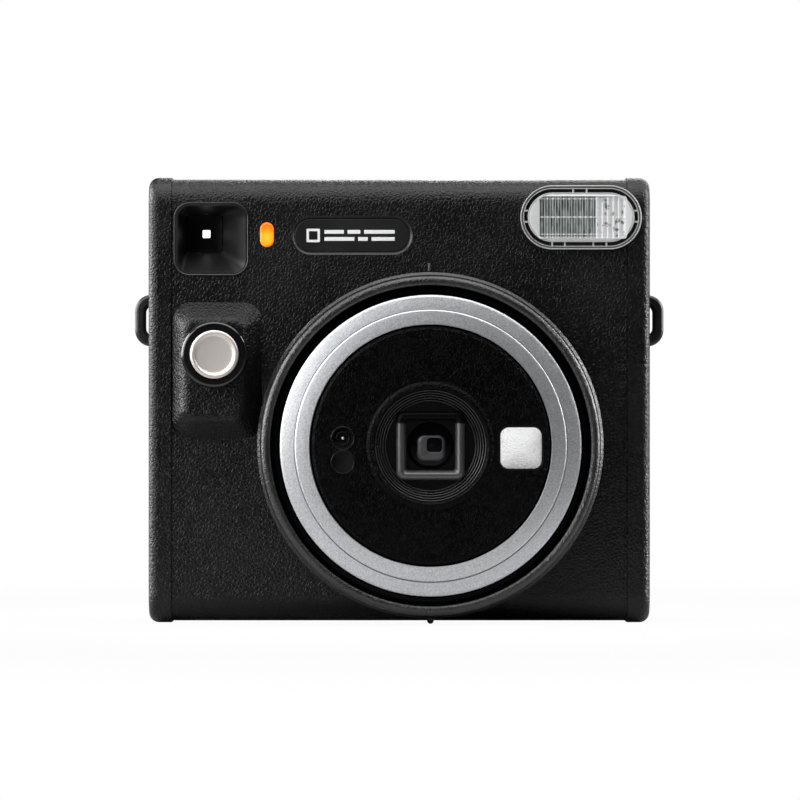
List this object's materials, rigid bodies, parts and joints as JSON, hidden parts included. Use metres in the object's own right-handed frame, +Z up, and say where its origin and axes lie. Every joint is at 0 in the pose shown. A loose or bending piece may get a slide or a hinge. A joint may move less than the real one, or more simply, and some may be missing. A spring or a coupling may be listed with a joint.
{
  "type": "instant camera",
  "caption": "Instant film camera: boxy black body, turning lens collar with silver bands, flash, viewfinder, grip with metal release button and side strap loops.",
  "frame": {"origin": "on the surface the camera stands on, under the middle of its bounding box", "axes": "+Z up, the lens looks along -Y, +X to the right as seen from in front of the lens"},
  "size_m": [0.1432, 0.0608, 0.1194],
  "materials": {
    "shell_black": "moulded with a fine pebbled leather grain",
    "cap_black": "moulded with a fine pebbled grain",
    "ring_black": "moulded with a fine pebbled grain, satin lip",
    "disc_black": "fine sparkle texture",
    "gloss_black": "polished",
    "lug_black": "satin, smooth",
    "inner_black": "plain satin",
    "silver_trim": "fine bead-blasted satin",
    "button_metal": "satin with a bright rim",
    "steel": "plain",
    "steel_blackened": "blackened",
    "sensor_metal": "small metal cans",
    "bellows_black": "matt pleats",
    "rubber_black": "soft matt",
    "lens_glass": "coated",
    "clear_plastic": "clear moulding",
    "smoked_window": "smoked, polished",
    "lamp_orange": "translucent amber",
    "mirror": "polished",
    "bright_reflector": "polished",
    "circuit_board": "solder mask",
    "film_white": "coated sheet",
    "gear_plastic": "moulded",
    "brass": "turned",
    "cell_sleeve": "printed sleeve over a metal can"
  },
  "bodies": {
    "camera_body": {"front_shell": "shell_black", "rear_shell": "shell_black", "side_cap_left": "cap_black", "side_cap_right": "cap_black", "strap_lugs": "lug_black", "case_screws": "steel", "lens_base_ring": "ring_black", "bellows": "bellows_black", "viewfinder_frame": "gloss_black", "viewfinder_tube": "inner_black", "finder_lenses": "lens_glass", "eyecup": "rubber_black", "lamp_lens": "lamp_orange", "badge_plate": "gloss_black", "flash_window": "clear_plastic", "flash_housing": "inner_black", "flash_reflector": "bright_reflector", "flash_circuit": "circuit_board", "button_bezel": "gloss_black", "button_spring": "steel", "shutter_switch": "circuit_board", "main_board": "circuit_board", "chassis": "inner_black", "film_pack": "inner_black", "film_sheets": "film_white", "roller_frame": "steel", "motor": "steel", "exit_frame": "gloss_black", "counter_window": "clear_plastic", "latch_spring": "steel", "battery_box": "inner_black", "battery_cells": "cell_sleeve", "hinge_pins": "steel"},
    "lens_dial": {"lens_ring": "ring_black", "cam_ring": "inner_black"},
    "lens_barrel": {"barrel": "inner_black", "barrel_outer_trim": "silver_trim", "barrel_inner_trim": "silver_trim", "front_disc": "disc_black", "lens_hood": "gloss_black", "lens_cell": "inner_black", "front_lens": "lens_glass", "rear_lens": "lens_glass", "selfie_mirror": "mirror", "sensor_windows": "smoked_window", "light_sensors": "sensor_metal"},
    "blade_lower": {"shutter_blade_lower": "steel_blackened"},
    "blade_upper": {"shutter_blade_upper": "steel_blackened"},
    "release": {"shutter_button": "button_metal"},
    "front_roller": {"roller_front": "steel"},
    "rear_roller": {"roller_rear": "steel"},
    "idler": {"drive_gear": "gear_plastic"},
    "pinion": {"motor_pinion": "brass"},
    "flap": {"exit_flap": "inner_black"},
    "counter": {"counter_dial": "gear_plastic"},
    "back_door": {"film_door": "shell_black", "film_window": "smoked_window"},
    "latch": {"door_latch": "inner_black"},
    "battery_hatch": {"battery_door": "cap_black"}
  },
  "joints": [
    {"name": "lens_ring_turn", "type": "hinge", "parent": "camera_body", "child": "lens_dial", "pos_m": [0.0083, -0.02, 0.0476], "axis": [0, 1, 0], "range_deg": [0, 90]},
    {"name": "barrel_extend", "type": "slide", "parent": "camera_body", "child": "lens_barrel", "axis": [0, -1, 0], "range_m": [0, 0.015], "deforming": ["bellows"]},
    {"name": "blade_lower_swing", "type": "hinge", "parent": "lens_barrel", "child": "blade_lower", "pos_m": [0.0021, -0.0201, 0.0414], "axis": [0, -1, 0], "range_deg": [0, 50], "stiffness_Nm_per_rad": 0.00005, "springref_deg": -5.73},
    {"name": "blade_upper_swing", "type": "hinge", "parent": "lens_barrel", "child": "blade_upper", "pos_m": [0.0145, -0.0191, 0.0538], "axis": [0, -1, 0], "range_deg": [0, 50.1]},
    {"name": "shutter_button_press", "type": "slide", "parent": "camera_body", "child": "release", "axis": [0, 1, 0], "range_m": [0, 0.0015], "stiffness_N_per_m": 600, "springref_m": -0.001, "deforming": ["button_spring"]},
    {"name": "roller_front_spin", "type": "hinge", "parent": "camera_body", "child": "front_roller", "pos_m": [0.008, 0.00485, 0.1038], "axis": [1, 0, 0], "continuous": true},
    {"name": "roller_rear_spin", "type": "hinge", "parent": "camera_body", "child": "rear_roller", "pos_m": [0.008, 0.01315, 0.1038], "axis": [1, 0, 0], "continuous": true},
    {"name": "drive_gear_spin", "type": "hinge", "parent": "camera_body", "child": "idler", "pos_m": [0.053, 0.00734, 0.09735], "axis": [1, 0, 0], "continuous": true},
    {"name": "motor_pinion_spin", "type": "hinge", "parent": "camera_body", "child": "pinion", "pos_m": [0.054, -0.001, 0.0934], "axis": [1, 0, 0], "continuous": true},
    {"name": "counter_dial_spin", "type": "hinge", "parent": "camera_body", "child": "counter", "pos_m": [-0.0495, 0.025, 0.085], "axis": [0, 1, 0], "continuous": true},
    {"name": "exit_flap_lift", "type": "hinge", "parent": "camera_body", "child": "flap", "pos_m": [0.008, 0.007, 0.113], "axis": [1, 0, 0], "range_deg": [0, 75], "stiffness_Nm_per_rad": 0.001, "springref_deg": -11.46},
    {"name": "film_door_open", "type": "hinge", "parent": "camera_body", "child": "back_door", "pos_m": [0.0575, 0.0269, 0.055], "axis": [0, 0, -1], "range_deg": [0, 105]},
    {"name": "door_latch_slide", "type": "slide", "parent": "camera_body", "child": "latch", "axis": [0, 0, -1], "range_m": [0, 0.005], "stiffness_N_per_m": 120, "springref_m": -0.001, "deforming": ["latch_spring"]},
    {"name": "battery_door_open", "type": "hinge", "parent": "camera_body", "child": "battery_hatch", "pos_m": [-0.0655, 0.0214, 0.037], "axis": [0, 0, -1], "range_deg": [0, 95]}
  ],
  "couplings": [
    {"joint": "barrel_extend", "follows": "lens_ring_turn", "m_per_rad": 0.009549},
    {"joint": "blade_upper_swing", "follows": "blade_lower_swing", "ratio": 1},
    {"joint": "roller_rear_spin", "follows": "roller_front_spin", "ratio": -1},
    {"joint": "drive_gear_spin", "follows": "roller_front_spin", "ratio": -1.5},
    {"joint": "motor_pinion_spin", "follows": "roller_front_spin", "ratio": 4.5},
    {"joint": "counter_dial_spin", "follows": "roller_front_spin", "ratio": 0.03}
  ]
}
